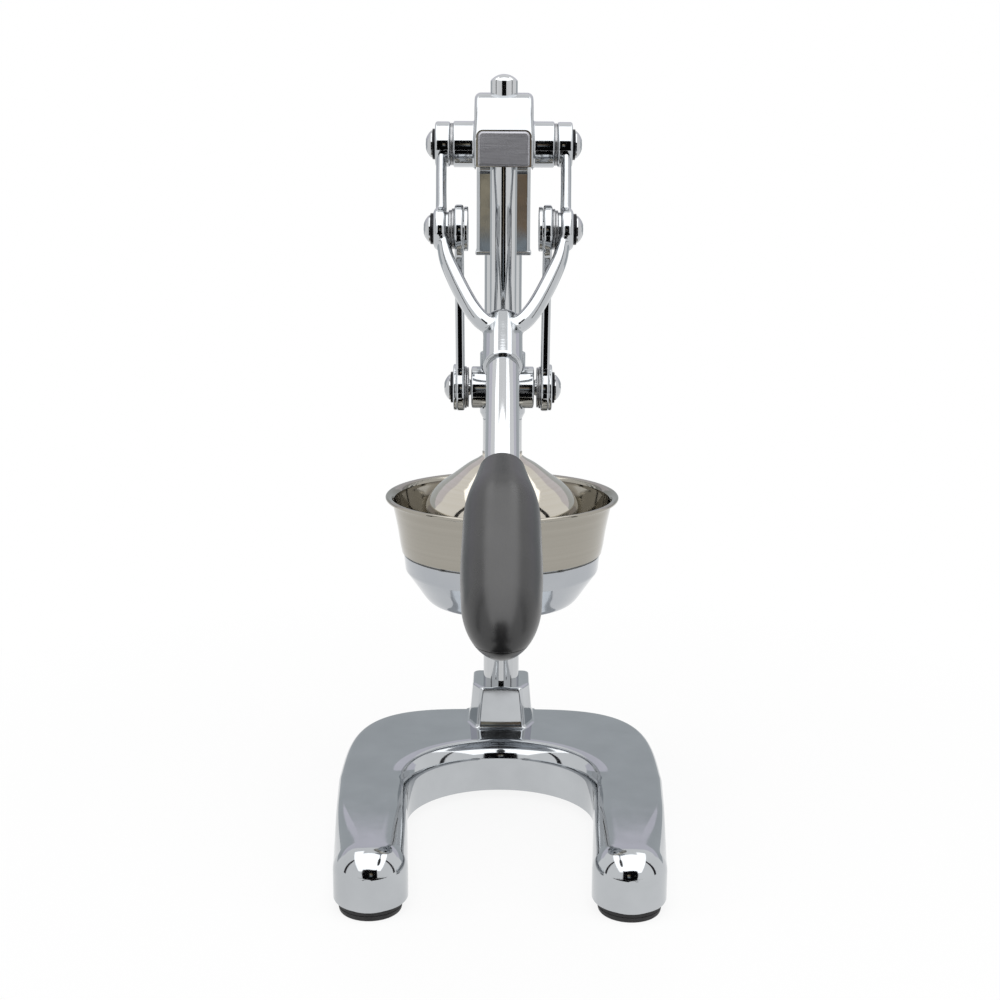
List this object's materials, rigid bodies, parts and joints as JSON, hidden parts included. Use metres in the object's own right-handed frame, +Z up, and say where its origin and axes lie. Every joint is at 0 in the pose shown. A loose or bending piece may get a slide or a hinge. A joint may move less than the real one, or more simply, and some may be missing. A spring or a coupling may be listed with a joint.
{
  "type": "lever citrus juice press",
  "caption": "Free-standing juice press: a forked hand lever and side links drive a plunger and bell down onto a reamer and strainer over a bowl with a spout.",
  "frame": {"origin": "middle of the bounding box's bottom face, on the table, handle down", "axes": "+Z up along the column and the plunger, -Y to the front where the handle points, X across the two legs"},
  "size_m": [0.184, 0.3302, 0.4215],
  "materials": {
    "cast_chrome": "polished chrome on a casting, slightly wavy",
    "bowl_chrome": "polished chrome on a thin casting",
    "tube_chrome": "bright chrome on drawn tube and rod",
    "stainless": "spun stainless sheet, soft polish",
    "plate_satin": "satin plate, bare",
    "screw_chrome": "polished domed screw heads and nuts",
    "zinc_steel": "zinc plated washers and fasteners",
    "dark_washer": "black oxide washer",
    "set_screw": "black oxide grub screw",
    "bush_brass": "turned bearing bronze",
    "grip_plastic": "charcoal moulded grip, satin",
    "foot_rubber": "black rubber"
  },
  "bodies": {
    "stand": {"base_casting": "cast_chrome", "foot_pad_front_left": "foot_rubber", "foot_pad_front_right": "foot_rubber", "foot_pad_rear_left": "foot_rubber", "foot_pad_rear_right": "foot_rubber", "foot_screws": "zinc_steel", "column_tube": "tube_chrome", "column_plug": "zinc_steel", "column_washer": "zinc_steel", "column_bolt": "zinc_steel", "bowl_casting": "bowl_chrome", "bowl_set_screw": "set_screw", "strainer_bowl": "stainless", "reamer_cone": "stainless", "head_casting": "cast_chrome", "front_plate": "plate_satin", "head_set_screws": "set_screw", "guide_bush": "bush_brass", "top_screw_left": "screw_chrome", "top_screw_right": "screw_chrome", "top_thrust_washers": "zinc_steel", "top_cap_washers": "dark_washer"},
    "lever": {"lever_fork": "cast_chrome", "lever_tube": "tube_chrome", "lever_set_screw": "set_screw", "grip": "grip_plastic", "grip_end_cap": "grip_plastic", "middle_screw_left": "screw_chrome", "middle_screw_right": "screw_chrome", "middle_cap_washers": "dark_washer", "middle_spacers": "zinc_steel", "middle_nut_left": "screw_chrome", "middle_nut_right": "screw_chrome"},
    "link_left": {"link_left": "cast_chrome", "bottom_screw_left": "screw_chrome", "bottom_washers_left": "zinc_steel", "bottom_cap_washer_left": "dark_washer"},
    "link_right": {"link_right": "cast_chrome", "bottom_screw_right": "screw_chrome", "bottom_washers_right": "zinc_steel", "bottom_cap_washer_right": "dark_washer"},
    "plunger": {"crosshead": "cast_chrome", "crosshead_set_screw": "set_screw", "plunger_rod": "tube_chrome", "bell_stem": "tube_chrome", "press_bell": "stainless", "bell_nut": "zinc_steel"}
  },
  "joints": [
    {"name": "lever_pivot", "type": "hinge", "parent": "stand", "child": "lever", "pos_m": [0, 0.07013, 0.3853], "axis": [-1, 0, 0], "range_deg": [0, 85]},
    {"name": "plunger_slide", "type": "slide", "parent": "stand", "child": "plunger", "axis": [0, 0, 1], "range_m": [0, 0.0748]},
    {"name": "link_left_pivot", "type": "hinge", "parent": "lever", "child": "link_left", "pos_m": [0, 0.043, 0.34188], "axis": [1, 0, 0], "range_deg": [0, 98]},
    {"name": "link_right_pivot", "type": "hinge", "parent": "lever", "child": "link_right", "pos_m": [0, 0.043, 0.34188], "axis": [1, 0, 0], "range_deg": [0, 98]}
  ],
  "couplings": [
    {"joint": "plunger_slide", "follows": "lever_pivot", "m_per_rad": 0.050404},
    {"joint": "link_left_pivot", "follows": "lever_pivot", "ratio": 1.1497},
    {"joint": "link_right_pivot", "follows": "lever_pivot", "ratio": 1.1497}
  ]
}
